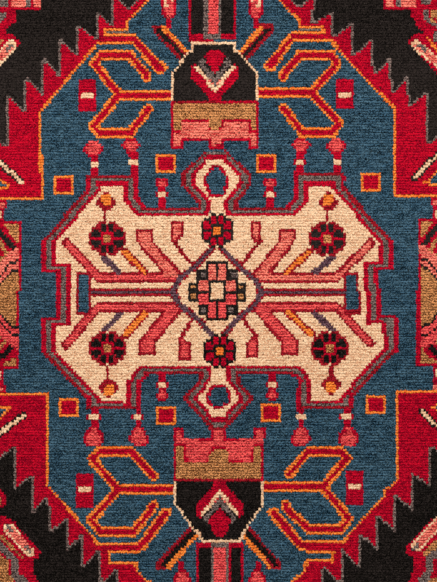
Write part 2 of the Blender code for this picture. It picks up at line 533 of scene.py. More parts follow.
def far_bead(c):
    c.block("madder", 90.8, 152, 97.3, 177)
    c.hold(94, 148)
    if c.low:
        c.fill("madder", [(83, 145), (86, 138.5), (90, 136), (98, 136), (102, 138.5), (105, 145),
                          (102.5, 150), (97, 158), (91, 158), (85.5, 150)])
        c.fill("rose", [(85.5, 144.5), (88, 139), (92, 137), (96.5, 137), (100, 139), (102.5, 144.5),
                        (100, 149), (95.5, 155), (92.5, 155), (88, 149)])
    else:
        c.fill("madder", [(83.5, 148), (88, 141.5), (94, 139.5), (100, 141.5), (105, 148), (100, 153),
                          (97, 158), (91, 158), (88, 153)])
        c.fill("rose", [(86, 147.5), (89.5, 141), (98.5, 141), (102.5, 147.5), (97, 154), (92, 154)])
    c.hold(94.5, 164, odd_across=not c.low)
    if c.low:
        c.block("madder", 88, 160.8, 101, 167)
    c.block("cream", 90.5, 160.8, 98.5, 167)


def near_bead(c):
    c.block("madder", 129.8, 151, 137.8, 176)
    c.hold(132, 147)
    if c.low:
        c.fill("madder", [(121.5, 143), (125, 138), (129, 136), (135.5, 136), (139.5, 138), (142.5, 143),
                          (140, 149), (136, 156), (129, 156), (123.5, 149)])
        c.fill("rose", [(124, 143), (126.5, 139), (130, 137), (134.5, 137), (138, 139), (140, 143.5),
                        (137.5, 149), (134, 154), (130.5, 154), (126, 149)])
    else:
        c.fill("madder", [(122, 146), (126, 140.5), (132, 139), (138, 140.5), (142, 146), (138, 151),
                          (136, 158), (129, 158), (126, 151)])
        c.fill("rose", [(124, 146), (128, 140.5), (136, 140.5), (140, 146), (135, 152), (129.5, 152)])
    wide = not c.low and not c.right
    c.hold(133, 162.5, odd_across=not wide and not (c.low and c.right))
    c.block("madder", 127.8, 159.7, 138.2, 165.2)
    c.block("cream", 128.8 if wide else 129, 159.7, 137.2 if wide else 137, 165.2)


def medallion(c):
    c.fill("sage", [(PAST_MIDDLE, 208.4), (144, 208.4), (136.5, 197), (136.5, 176.5), (87.5, 176.5),
                    (87.5, 190.5), (44, 242), (44, 271), (58.3, 271), (58.3, PAST_ROW),
                    (PAST_MIDDLE, PAST_ROW)])
    c.fill("cream", [(PAST_MIDDLE, 214), (137, 214), (126.5, 200), (126.5, 186), (99.5, 186),
                     (99.5, 188.5), (53.5, 242.5), (53.5, 264.5), (68.5, 264.5), (68.5, PAST_ROW),
                     (PAST_MIDDLE, PAST_ROW)])
    c.line("madder", [(53.5, 242.5), (99.5, 188.5)], 4.8)
    c.line("madder", [(68.5, PAST_ROW), (68.5, 265)], 4.6)
    c.line("madder", [(53.5, 264.5), (53.5, 242.5)], 4.6)
    c.line("madder", [(53.5, 265.5), (68.5, 265.5)], 2.6)
    c.line("madder", [(97, 186), (128, 186)], 2.6)
    if not c.low:
        c.block("madder", 96, 182, 129, 187.3)
    c.line("madder", [(126.5, 186), (126.5, 200), (137.5, 213.5)], 4.8)
    c.line("madder", [(137, 214), (208, 214)], 2.6)
    c.line("oxblood", [(44, 242), (87.5, 190.5)], 4.9)
    c.line("madder", [(58.3, PAST_ROW), (58.3, 271.5)], 4.8)
    c.line("madder", [(44, 270), (44, 242)], 4.8)
    c.line("madder", [(43, 271.2), (59, 271.2)], 2.6)
    c.line("madder", [(87.5, 191.5), (87.5, 178)], 4.8)
    c.line("oxblood", [(86.5, 176), (134, 176)], 2.6)
    c.line("madder", [(136.5, 174), (136.5, 197), (144, 207.5)], 4.8)
    c.line("oxblood", [(142, 208.4), (201, 208.4)], 2.6)


def hanging_bead(c):
    bead = 185 if c.low else 184
    c.hold(161, 190, odd_across=True)
    c.spot("madder", 161, bead, 6.2, 6.0)
    c.block("madder", 158.5, 183, 164, 208)
    c.block("madder", 155.8, 193.7, 166.2, 199.2)
    c.spot("rose", 161, bead, 4.0, 4.2)
    c.block("cream", 157.2, 193.7, 164.8, 199.2)


def cartouche(c):
    core_end, ring_end = (170.5, 158.5) if c.low else (165.8, 156.5)
    outer = [(206, 151), (197, 161), (189.5, 168), (183.5, 175.5), (183.5, 184), (187.5, 190),
             (195, 197.5), (199.5, 203), (199.5, 208)]
    ring = [(PAST_MIDDLE, ring_end), (208, ring_end), (199.5, 168), (193, 176.5), (193, 184),
            (198, 190.5), (204, 197), (208.5, 201.5), (208.5, 209), (206, 213)]
    if c.low:
        outer = [(208.5, 150.5), (204.5, 157), (198, 163), (193, 170), (184.5, 178.5), (184.5, 181),
                 (191.5, 190), (197, 197), (199.2, 203.5), (199.2, 208)]
        ring = [(PAST_MIDDLE, ring_end), (209.8, ring_end), (203.3, 168), (195.3, 177), (194, 181),
                (200, 189.5), (204, 196), (208, 200.5), (208.3, 209), (206, 213)]
    core = [(PAST_MIDDLE, core_end), (213, core_end), (205.5, 177), (205.5, 184), (211, 195.3),
            (PAST_MIDDLE, 195.3)]
    end = 149.5 if c.low else 150.8
    c.fill("sage", [(PAST_MIDDLE, end), (207, end)] + outer[1:] + [(201, 211), (PAST_MIDDLE, 211)])
    c.line("oxblood", outer, 4.8 if c.low else 3.8)
    if c.low:
        c.line("oxblood", [(208.5, 149.8), (PAST_MIDDLE, 149.8)], 2.6)
    c.fill("cream", ring[:-1] + [(211, 214), (PAST_MIDDLE, 214)])
    c.line("madder", ring, 4.6)
    c.fill("indigo", core)
    c.line("madder", core, 3.4)


def small_flower(c):
    c.block("oxblood", 103.4, 209, 107.2, 223)
    c.hold(105, 199)
    c.fill("oxblood", [(94.5, 202), (99, 195), (103, 192), (108, 192), (112, 196), (116.5, 202.5),
                       (107, 211), (103.5, 211)])
    c.fill("orange", [(99, 197), (102, 193.6), (108, 193.6), (112, 199), (109, 203), (105, 206.5),
                      (102, 203)])


def bars(c):
    broad = [(136.4, 229.3), (153.2, 229.3), (153.2, 241), (181, 271.5), (185, 280), (160, 276),
             (160.5, 271.5), (136.4, 242.5)]
    band = "coral" if c.right and not c.low else "rose"
    c.line("oxblood", [(66.5, 242.5), (98, 277.5)], 10.4)
    c.block("oxblood", 96, 272.4, 186, 283)
    c.fill("oxblood", broad)
    c.fill("oxblood", [(170.5, 220.5), (182.8, 220.5), (182.8, 237), (176, 243.5), (170.5, 243.5)])
    c.line("oxblood", [(172.5, 241.5), (180, 249.5), (192, 265)], 5.0)
    c.line("oxblood", [(124, 251.5), (145, 273)], 9.0)
    c.line(band, [(67.5, 243.5), (98, 277.8)], 6.4)
    c.block(band, 97, 275.2, 180, 280.6)
    c.fill(c.pink, [(138.9, 232.2), (150.7, 232.2), (150.7, 242), (176.5, 271), (180, 278), (164, 278),
                    (164, 271), (138.9, 240.5)])
    c.fill(c.pink, [(173.2, 223.3), (180, 223.3), (180, 235.5), (175, 240.5), (173.2, 240.5)])
    c.line("orange", [(124, 251.5), (145, 273)], 5.2)
    c.line("slate", [(103, 257.5), (118.5, 272)], 7.4)


def middle_bands(c):
    c.block("oxblood", 75.5, 272.3, 91.8, PAST_ROW)
    c.block("indigo", 78.5, 275.5, 89.3, PAST_ROW)
    c.block("oxblood", 89, 288, 176, PAST_ROW)
    c.block("slate", 90, 290.4, 176, PAST_ROW)


def diamond(c):
    side = [(213, 247.5), (199.5, 262.5), (191, 270), (178, 280.5), (173.8, 290), (173.8, PAST_ROW)]
    c.fill("cream", side + [(PAST_MIDDLE, PAST_ROW), (PAST_MIDDLE, 247)])
    c.line("oxblood", side, 7.6)
    c.line("slate", side, 5.4)


def heart(c):
    c.block("black", 206.5, 262.3, PAST_MIDDLE, PAST_ROW)
    c.block("black", 197, 269.3, PAST_MIDDLE, PAST_ROW)
    c.block("black", 188, 281.8, PAST_MIDDLE, PAST_ROW)
    if c.right and not c.low:
        c.block("black", 195, 269.3, PAST_MIDDLE, 280)
        c.block("sage", 197, 271.6, 203.4, 277.6)
    else:
        c.block("sage", 200, 271.6, 205.6, 277.6)
    c.block(c.pink, 208.6, 264.6, 216, 281.3)
    c.block(c.pink, 199, 280.3, 208.6, 290.3)
    c.block("camel", 190.2, 284.8, 196.5, 289.4)
    c.block("cream", 211.6, 284.2, PAST_MIDDLE, PAST_ROW)


def side_panel(c):
    c.block("madder", PAST_EDGE, 221.8, 21.6, FAR_PAST_ROW)
    c.block("camel", PAST_EDGE, 225.0, 18.6, FAR_PAST_ROW)
    c.fill("madder", [(PAST_EDGE, 222), (2, 225), (18.6, 243), (18.6, 247), (10, 253), (3, 258),
                      (PAST_EDGE, 246)])
    c.line("camel", [(PAST_EDGE, 232), (0, 244), (6, 254)], 5.0)
    c.line("black", [(-12, 220), (0, 233), (12, 247)], 6.6)
    c.fill(c.pink, [(18.6, 248), (18.6, 270), (11, 272), (0, 284), (PAST_EDGE, 298), (PAST_EDGE, 274),
                    (0, 261), (11, 250)])
    c.line("black", [(18, 261.3), (11, 262.3), (0, 275), (PAST_EDGE, 290)], 2.4)
    c.line("black", [(18, 269.7), (11, 271.3), (0, 285), (PAST_EDGE, 300)], 2.6)


def edge_column(c):
    c.block("madder", PAST_EDGE, 200, 3.2, 223)
    c.block("madder", PAST_EDGE, 200, 4.8, 208)
    c.block("coral", PAST_EDGE, 201.5, 2.4, 206.8)
    c.block("cream", PAST_EDGE, 211.5, 1.8, 218.5)


def edge_stripe(c):
    c.line("black", [(PAST_EDGE, 151), (0, 163.5), (21, 181.5)], 8.2)
    c.line("cream", [(PAST_EDGE, 151), (0, 163.5), (21, 181.5)], 4.6)
    tip = [(PAST_EDGE, 168), (0, 179), (8, 187), (PAST_EDGE, 188.5)]
    c.fill("indigo", tip)
    c.line("orange", tip, 2.9)


# The panel's four corners are not alike, so each is drawn where it lies.
def upper_left_corner(c):
    c.block("madder", PAST_EDGE, PAST_EDGE, 42, 10)
    c.fill("madder", [(PAST_EDGE, 8), (16.5, 8), (16.5, 20), (5, 31), (6, 34), (13, 34), (21.5, 44),
                      (PAST_EDGE, 80)])
    c.block("coral", 34, PAST_EDGE, 40, 7.8)
    c.block("sage", 26.5, PAST_EDGE, 31.5, 7.8)
    c.block("coral", 12, PAST_EDGE, 24.8, 7.8)
    c.block("sage", PAST_EDGE, PAST_EDGE, 8, 7.8)
    c.fill("sage", [(PAST_EDGE, 11), (6.5, 11), (6.5, 17), (1, 23), (PAST_EDGE, 34)])
    c.fill("camel", [(PAST_EDGE, 38.5), (3.5, 38.5), (2, 44), (PAST_EDGE, 56)])
    c.line("cream", [(12, 45), (PAST_EDGE, 71)], 11.6)
    c.line("coral", [(10, 47), (PAST_EDGE, 71)], 7.6)
    c.line("sage", [(6.5, 50), (11, 45.5)], 4.6)


def upper_right_corner(c):
    far = SHOWN_WIDE_MM - PAST_EDGE
    c.block("madder", 384.7, PAST_EDGE, far, 10)
    c.fill("madder", [(411, 8), (far, 8), (far, 88), (407.5, 43), (411, 37), (416, 33.5), (423, 33),
                      (422, 30), (411, 17)])
    c.block("coral", 387, PAST_EDGE, 394.5, 7.8)
    c.block("sage", 396.3, PAST_EDGE, 400, 7.8)
    c.block("coral", 402, PAST_EDGE, 416.5, 7.8)
    c.block("sage", 420, PAST_EDGE, 430.5, 5.5)
    c.fill("sage", [(423, 10.5), (429, 10.5), (429, 17.5), (far, 28), (far, 37), (423, 19.5)])
    c.block("camel", 431, 10.5, far, 24)
    c.line("madder", [(430, 9), (430, 16), (far, 30)], 2.4)
    c.fill("sage", [(434.5, 32), (far, 32), (far, 46), (434.5, 41)])
    c.line("orange", [(427, 37.5), (436, 48.5), (far, 62)], 3.6)
    c.line("cream", [(416, 44.5), (437, 62), (far, 74)], 10.6)
    c.line("coral", [(417.5, 46), (437, 62), (far, 74)], 6.8)
    c.line("sage", [(418.5, 45), (425, 49.5)], 4.6)


def lower_left_corner(c):
    far = SHOWN_LONG_MM - PAST_EDGE
    c.fill("madder", [(PAST_EDGE, 517), (9, 517.5), (14, 522), (38, 548), (40.5, 553), (38, 558),
                      (33, 561), (33, 572), (46, far), (PAST_EDGE, far)])
    c.fill("sage", [(PAST_EDGE, 528), (16.5, 557), (19, 561), (19, 573), (42, far), (28, far), (12, 577),
                    (11, 561), (PAST_EDGE, 541)])
    c.fill("camel", [(PAST_EDGE, 545), (7.5, 560), (8.5, 573), (24, far), (PAST_EDGE, far)])
    c.line("camel", [(0, 535.5), (12, 547), (22, 557.5)], 4.4)
    c.line("cream", [(8, 528), (29.5, 551.5)], 11.0)
    c.line("coral", [(10, 530), (27.5, 549)], 7.4)
    c.line("sage", [(7.5, 526.5), (10.5, 530)], 5.0)
    c.line("sage", [(26.5, 547.5), (30.5, 551.5)], 5.0)
    c.fill("madder", [(PAST_EDGE, 489), (4.5, 491), (5.5, 503), (2, 508), (PAST_EDGE, 508)])
    c.block("camel", PAST_EDGE, 497.5, 1.0, 506)


def lower_right_corner(c):
    far_x, far_y = SHOWN_WIDE_MM - PAST_EDGE, SHOWN_LONG_MM - PAST_EDGE
    c.fill("madder", [(far_x, 503), (437, 516), (430, 521), (405, 547), (405, 551), (413, 558),
                      (413, 570), (404.5, far_y), (far_x, far_y)])
    c.fill("camel", [(far_x, 534), (432, 542), (421.5, 554), (427, 558), (437, 549), (far_x, 545)])
    c.fill("sage", [(far_x, 545), (431.5, 551.5), (426.5, 558), (426.5, 570), (418.5, 579),
                    (418.5, far_y), (424, far_y), (433.5, 570), (433.5, 560), (far_x, 553)])
    c.fill("camel", [(far_x, 572), (429, 580), (426, far_y), (far_x, far_y)])
    c.line("cream", [(416, 547), (437, 524.5), (far_x, 511)], 11.6)
    c.line("coral", [(419, 544), (437, 524.5), (far_x, 511)], 7.4)
    c.line("sage", [(414, 549.5), (418, 545.5)], 5.4)
    c.line("madder", [(396, 483), (380, 501)], 8.0)
    c.fill("indigo", [(370, 505), (380, 477), (396, 477), (396, 480), (390, 487), (385.5, 489.5),
                      (385, 496), (378, 503)])
    c.line("orange", [(397.3, 476), (396.5, 481), (390.5, 487), (386, 489.5), (385.5, 496), (379, 501.5)],
           2.6)


MOTIFS = (corner_ground, field, fork, wide_bar, bud, oblique_bar, far_bead, near_bead, squares, medallion,
          hanging_bead, cartouche, jar, stand, small_flower, bars, middle_bands, diamond, heart,
          side_panel, edge_column, edge_stripe)
CORNERS = (upper_left_corner, upper_right_corner, lower_left_corner, lower_right_corner)


def draw_chart():
    """The dye of every knot, as rows down the rug."""
    chart = Chart()
    for low in (False, True):
        for right in (False, True):
            chart.quarter(right, low)
            for motif in MOTIFS:
                motif(chart)
                chart.hold()
    chart.whole()
    for corner in CORNERS:
        corner(chart)
    for x, y in ROSETTE_PLACES:
        chart.figure(ROSETTE, x, y)
    for x, y in HEAD_PLACES:
        chart.figure(HEAD_ROSETTE, x, y)
    return chart.dye


# ---------------------------------------------------------------- dyed wools
# Each wool's deep end, light end and fleck. The dye took unevenly, so the tufts of one
# wool run from its deep end to its light end, and fibres of the fleck show among them.
DYE_SHADES = {
    "madder": (0x76041A, 0xCE0E2A, 0xE04044),     # deep crimson, even and saturated
    "black": (0x060505, 0x342C29, 0x544E40),      # undyed dark wool, near black and matt
    "indigo": (0x001320, 0x3C5B6E, 0x788C88),     # navy, the darker vat of two
    "teal": (0x041D2A, 0x466577, 0x8A9C94),       # the weaker vat, greener and paler
    "cream": (0xC4865F, 0xFFDEB4, 0xE8A068),      # undyed light wool, warm and creamy
    "coral": (0xAC1C24, 0xFF8E76, 0xF8A888),      # weak madder, an orange pink
    "rose": (0x940C20, 0xFF625C, 0xF08474),       # a stronger bath of it, coral red
    "orange": (0xC44404, 0xFF9640, 0xFFC878),     # madder on a yellow ground
    "camel": (0x50270F, 0xE0965C, 0xECC486),      # undyed brown wool, golden in places
    "sage": (0x201D1D, 0x8E7C72, 0x883038),       # worn grey green with red in it
    "slate": (0x1C141A, 0x74575F, 0x942A38),      # dull blue grey, with some purple
    "oxblood": (0x56040C, 0xB41E2C, 0xD04848),    # madder over dark wool
}
# For each wool, how far its tone goes from knot to knot, in streaks along the rows and
# from fibre to fibre, and how much of the fleck shows.
DYE_TAKE = {
    "madder": (0.14, 2.0, 4.6, 0.14),
    "black": (0.08, 0.8, 2.8, 0.25),
    "indigo": (0.09, 3.2, 6.6, 0.38),
    "teal": (0.08, 3.0, 5.8, 0.40),
    "cream": (0.07, 1.4, 2.6, 0.12),
    "coral": (0.10, 2.0, 4.0, 0.20),
    "rose": (0.10, 1.8, 4.0, 0.20),
    "orange": (0.10, 1.0, 3.4, 0.30),
    "camel": (0.10, 1.4, 4.6, 0.25),
    "sage": (0.12, 1.2, 4.6, 0.60),
    "slate": (0.10, 1.2, 4.0, 0.60),
    "oxblood": (0.10, 1.0, 4.0, 0.20),
}
# Painted light and shade down the rug: the tone is lightest a little above the middle
# and darkest below it. (mm from the top of what the photo shows, tone), and each wool's share of it.
PAINTED_LIGHT_DOWN_RUG = ((-10, -0.06), (30, -0.05), (70, 0.02), (130, 0.04), (210, 0.05), (280, 0.01),
          (340, -0.10), (600, -0.10))
ABRASH_AND_PAINTED_LIGHT_SHARE = {"indigo": 1.0, "teal": 1.0, "black": 2.6, "madder": 1.2, "camel": 1.0}
USUAL_ABRASH_AND_PAINTED_LIGHT_SHARE = 0.3
ROW_ABRASH = 0.02     # and how far the tone changes from row to row
# How much painted shade darkens the pile between two rows; a quarter of it lightens each row's crest.
ROW_SHADE = {"cream": 0.10, "black": 0.15, "madder": 0.22, "oxblood": 0.22}
USUAL_ROW_SHADE = 0.45
COTTON_DEEP = 0xA89C88
COTTON_LIGHT = 0xD8CEBC
BACK_TAKE = 0.2       # how far the tone goes from knot to knot at the back

# The size of what the wool's shade follows, across the rug, along it and upwards.
YARN_RUN = (0.011, 0.0009, 0.004)       # one length of yarn, which ties some knots of a row
FIBRE_BUNCH = (0.0013, 0.0008, 0.003)   # fibres too fine to show are drawn in bunches
FIBRE = 0.00045
COTTON_FIBRE = 0.0004
HALF_WEFT = (0.00016, 0.00034)          # where the cotton between two rows ends, off its middle
FLOOR_CLOUD = 0.15

# The studio: a camera with a 36 mm sensor, a floor, and each lamp's place, size and power.
SENSOR_MM = 36.0
FLOOR_REACH = 4.0
FLOOR_COLOUR = 0xDAD8D4
SURROUND_COLOUR = 0xF4F4F6
SURROUND_LIGHT = 0.35
LAMPS = {
    "key light": ((-0.30, 1.15, 1.70), 1.0, 28.0),
    "fill light": ((0.7, -0.9, 1.9), 1.4, 7.0),
    "top light": ((0.0, 0.2, 2.4), 1.8, 17.0),
}

# A colour Mix node has many sockets of one name, so these go by number.
MIX_A, MIX_B, MIXED = 6, 7, 2


def linear(hex_colour):
    """A linear colour from an sRGB hex value."""
    channels = [(hex_colour >> shift & 255) / 255 for shift in (16, 8, 0)]
    return tuple(c / 12.92 if c <= 0.04045 else ((c + 0.055) / 1.055)**2.4 for c in channels) + (1.0,)


def add_node(tree, kind, inputs=None, output=0, **settings):
    """Add one node, with its inputs as values or other nodes' outputs, and return one output."""
    made = tree.nodes.new(f"ShaderNode{kind}")
    for name, value in settings.items():
        setattr(made, name, value)
    for socket, value in (inputs or {}).items():
        if isinstance(value, bpy.types.NodeSocket):
            tree.links.new(value, made.inputs[socket])
        else:
            made.inputs[socket].default_value = value
    return made.outputs[output] if made.outputs else None


def new_material(name):
    """An empty material, and add_node for its tree."""
    material = bpy.data.materials.new(name)
    material.use_nodes = True
    material.node_tree.nodes.clear()
    return material, partial(add_node, material.node_tree)


def dyed_wool(dye, deep, light, fleck):
    """Hand-spun wool yarn, dyed in the hank and cut to a pile.

    The eye gets a matt, slightly furry surface with a faint bloom at a slant, and a
    tone that changes from tuft to tuft because the dye took unevenly. Painted shade
    darkens the roots and a thin line between two rows.
    """
    _, streaks, fibres, flecks = DYE_TAKE[dye]
    row_shade = ROW_SHADE.get(dye, USUAL_ROW_SHADE)
    material, node = new_material(f"{dye}_wool_pile")
    places = node("TexCoord", output="Object")
    tone = node("Attribute", output="Fac", attribute_name="tone")

    along_row = node("Mapping", {"Vector": places, "Scale": [1 / size for size in YARN_RUN]})
    run = node("TexNoise", {"Vector": along_row, "Scale": 1.0, "Detail": 1.0})
    bunched = node("Mapping", {"Vector": places, "Scale": [1 / size for size in FIBRE_BUNCH]})
    bunch = node("TexNoise", {"Vector": bunched, "Scale": 1.0, "Detail": 1.5})
    fine = node("TexNoise", {"Vector": places, "Scale": 1 / FIBRE, "Detail": 2.0})
    with_run = node("Math", {0: run, 1: streaks, 2: tone}, operation="MULTIPLY_ADD")
    with_bunch = node("Math", {0: bunch, 1: fibres, 2: with_run}, operation="MULTIPLY_ADD")
    taken = node("Math", {0: with_bunch, 1: (streaks + fibres) / 2}, operation="SUBTRACT", use_clamp=True)
    dyed = node("Mix", {"Factor": taken, MIX_A: deep, MIX_B: light}, MIXED, data_type="RGBA")
    flecked = node("MapRange", {"Value": fine, "From Min": 0.54, "From Max": 0.72, "To Max": flecks},
                   interpolation_type="SMOOTHSTEP")
    specked = node("Mix", {"Factor": flecked, MIX_A: dyed, MIX_B: fleck}, MIXED, data_type="RGBA")

    # Painted shade: the pile is darker towards its root, where it lies in shade, than at its tips.
    height = node("SeparateXYZ", {0: places}, "Z")
    rise = node("MapRange", {"Value": height, "From Min": FOUNDATION, "From Max": THICKNESS * 0.8,
                             "To Min": 0.8, "To Max": 1.0}, interpolation_type="SMOOTHSTEP")
    # Painted shade and highlight: a row crowds over the next one, so a thin darker line is painted between
    # the two, and each row's crest is painted a little lighter.
    across_row = node("Attribute", output="Fac", attribute_name="across_row")
    off_ridge = node("Math", {0: across_row}, operation="ABSOLUTE")
    ridge = node("MapRange", {"Value": off_ridge, "From Min": 0.35, "From Max": 0.95,
                              "To Min": 1 + row_shade / 4, "To Max": 1 - row_shade},
                 interpolation_type="SMOOTHSTEP")
    shade = node("Math", {0: rise, 1: ridge}, operation="MULTIPLY")
    shaded = node("Mix", {"Factor": 1.0, MIX_A: specked, MIX_B: shade}, MIXED,
                  data_type="RGBA", blend_type="MULTIPLY")

    bump = node("Bump", {"Strength": 0.5, "Distance": 0.00025, "Height": fine})
    rough = node("MapRange", {"Value": fine, "To Min": 0.84, "To Max": 1.0})
    shader = node("BsdfPrincipled", {
        "Base Color": shaded, "Roughness": rough, "Normal": bump, "IOR": 1.55,
        "Specular IOR Level": 0.06, "Specular Tint": light,
        "Sheen Weight": 0.05, "Sheen Roughness": 0.4, "Sheen Tint": light})
    node("OutputMaterial", {"Surface": shader})
    return material


def knotted_foundation():
    """Cotton warps and wefts with the backs of the wool knots between them.

    The eye gets the pattern again, in small ribs along the rows, each rib a run of
    rounded knot backs, and a fine pale line of cotton where the wefts cross.
    """
    material, node = new_material("knotted_wool_and_cotton_back")
    places = node("TexCoord", output="Object")
    wool = node("Attribute", attribute_name="dye")
    apart = node("SeparateXYZ", {0: places}).node.outputs
    from_end = node("Math", {0: apart["Y"], 1: LENGTH / 2}, operation="ADD")
    from_weft = node("Math", {0: from_end, 1: ROW / 2}, operation="PINGPONG")
    from_side = node("Math", {0: apart["X"], 1: WIDTH / 2}, operation="ADD")
    # Each knot goes round two warps, so its back shows two nodes side by side.
    from_gap = node("Math", {0: from_side, 1: KNOT / 4}, operation="PINGPONG")

    fibres = node("TexNoise", {"Vector": places, "Scale": 1 / COTTON_FIBRE, "Detail": 2.0,
                               "Roughness": 0.6})
    cotton = node("Mix", {"Factor": fibres, MIX_A: linear(COTTON_DEEP), MIX_B: linear(COTTON_LIGHT)}, MIXED,
                  data_type="RGBA")
    mottle = node("MapRange", {"Value": fibres, "To Min": 0.62, "To Max": 1.3})
    mottled = node("Mix", {"Factor": 1.0, MIX_A: wool, MIX_B: mottle}, MIXED,
                   data_type="RGBA", blend_type="MULTIPLY")
    covered = node("MapRange", {"Value": from_weft, "From Min": HALF_WEFT[0], "From Max": HALF_WEFT[1]},
                   interpolation_type="SMOOTHSTEP")
    colour = node("Mix", {"Factor": covered, MIX_A: cotton, MIX_B: mottled}, MIXED, data_type="RGBA")

    over_weft = node("MapRange", {"Value": from_weft, "From Max": ROW / 4}, interpolation_type="SMOOTHSTEP")
    over_gap = node("MapRange", {"Value": from_gap, "From Max": KNOT / 6}, interpolation_type="SMOOTHSTEP")
    knot_height = node("Math", {0: over_weft, 1: over_gap}, operation="MULTIPLY")
    height = node("Math", {0: fibres, 1: 0.3, 2: knot_height}, operation="MULTIPLY_ADD")
    bump = node("Bump", {"Strength": 0.8, "Distance": 0.0003, "Height": height})
    rough = node("MapRange", {"Value": fibres, "To Min": 0.8, "To Max": 0.96})
    shader = node("BsdfPrincipled", {
        "Base Color": colour, "Roughness": rough, "Normal": bump, "IOR": 1.55,
        "Specular IOR Level": 0.25, "Sheen Weight": 0.08})
    node("OutputMaterial", {"Surface": shader})
    return material


def painted_floor(colour):
    """Matt painted board: pale, plain and faintly uneven, so it takes a soft shadow."""
    material, node = new_material("matt_painted_floor")
    places = node("TexCoord", output="Object")
    uneven = node("TexNoise", {"Vector": places, "Scale": 1 / FLOOR_CLOUD, "Detail": 3.0})
    paler = tuple(min(1.0, channel * 1.05) for channel in colour[:3]) + (1.0,)
    paint = node("Mix", {"Factor": uneven, MIX_A: colour, MIX_B: paler}, MIXED, data_type="RGBA")
    shader = node("BsdfPrincipled", {"Base Color": paint, "Roughness": 0.9, "Specular IOR Level": 0.2})
    node("OutputMaterial", {"Surface": shader})
    return material


# ---------------------------------------------------------------- the knots in the rug
def wander(edge, along):
    """How far a cut edge runs inwards, at places from 0 to 1 along it."""
    long_waves, short_waves, start = EDGES[edge]
    long_wave = 0.5 - 0.5 * np.cos(2 * np.pi * long_waves * along + start)
    short_wave = 0.5 - 0.5 * np.cos(2 * np.pi * short_waves * along - start)
    wave = LONG_WAVE_SHARE * long_wave + (1 - LONG_WAVE_SHARE) * short_wave
    return CUT_WANDER * wave * np.sin(np.pi * np.clip(along, 0, 1))


def inside_cut(x, y):
    """Draw places in from the plain rectangle to the wandering cut, most at the cut itself."""
    across, along = x / WIDTH + 0.5, y / LENGTH + 0.5
    left = wander("left side", 1 - along) * np.exp(-across * WIDTH / CUT_REACH)
    right = wander("right side", along) * np.exp(-(1 - across) * WIDTH / CUT_REACH)
    near = wander("near end", across) * np.exp(-along * LENGTH / CUT_REACH)
    far = wander("far end", 1 - across) * np.exp(-(1 - along) * LENGTH / CUT_REACH)
    return x + left - right, y + near - far


def drift(random, rows, columns, step_rows, step_columns):
    """Even noise from -1 to 1 that changes over so many rows and columns."""
    down = np.linspace(0, rows / step_rows, rows)
    across = np.linspace(0, columns / step_columns, columns)
    coarse = random.uniform(-1, 1, (int(down[-1]) + 2, int(across[-1]) + 2))
    top, left = down.astype(int), across.astype(int)
    down_part, across_part = (down - top)[:, None], (across - left)[None, :]
    high = coarse[top][:, left] * (1 - across_part) + coarse[top][:, left + 1] * across_part
    low = coarse[top + 1][:, left] * (1 - across_part) + coarse[top + 1][:, left + 1] * across_part
    return high * (1 - down_part) + low * down_part


class Knots:
    """Every knot of the rug: its wool, its place, how its dye took and the painted light on it."""

    def __init__(self, seed):
        random = np.random.default_rng(seed)
        shape = ROWS_LONG, KNOTS_ACROSS
        self.dye = draw_chart()
        # The indigo came from two vats, which the weaver mixed in short runs along the row.
        vats = drift(random, *shape, *VAT_RUN) + VAT_PATCH_SHARE * drift(random, *shape, *VAT_PATCH)
        vats += VAT_CHANCE * random.uniform(-1, 1, shape)
        self.second_vat = (self.dye == DYES.index("indigo")) & (vats > 0)
        column = (np.arange(KNOTS_ACROSS) + 0.5) * KNOT_MM / 1000 - WIDTH / 2
        row = LENGTH / 2 - (np.arange(ROWS_LONG) + 0.5) * ROW_MM / 1000
        x, y = np.meshgrid(column, row)
        x = x + KNOT_WAVER[0] * drift(random, *shape, *WARP_WAVER)
        y = y + KNOT_WAVER[1] * drift(random, *shape, *ROW_WAVER)
        self.x, self.y = inside_cut(x, y)
        self.x += random.normal(0, KNOT_SCATTER[0], shape)
        self.y += random.normal(0, KNOT_SCATTER[1], shape)
        self.single = random.normal(0, 1, shape)
        # Painted light and shade down the rug, with the abrash from row to row added to it.
        from_top = (np.arange(ROWS_LONG) + 0.5) * ROW_MM - BEYOND_MM
        marks, tones = zip(*PAINTED_LIGHT_DOWN_RUG)
        self.abrash_and_painted_light = np.repeat(np.interp(from_top, marks, tones)[:, None], KNOTS_ACROSS, 1)
        self.abrash_and_painted_light += ROW_ABRASH * drift(random, *shape, *ROW_ABRASH_RUN)

    def of(self, wool):
        """The rows and columns of one wool's knots."""
        if wool == "teal":
            return np.nonzero(self.second_vat)
        return np.nonzero((self.dye == DYES.index(wool)) & ~self.second_vat)

    def tone(self, wool, which):
        """Where each knot lies between its wool's deep end and light end."""
        tone = 0.5 + DYE_TAKE[wool][0] * self.single[which]
        # Each wool takes its share of the abrash and of the painted light down the rug.
        return tone + ABRASH_AND_PAINTED_LIGHT_SHARE.get(wool, USUAL_ABRASH_AND_PAINTED_LIGHT_SHARE) * self.abrash_and_painted_light[which]


WOOLS = tuple(DYE_SHADES)


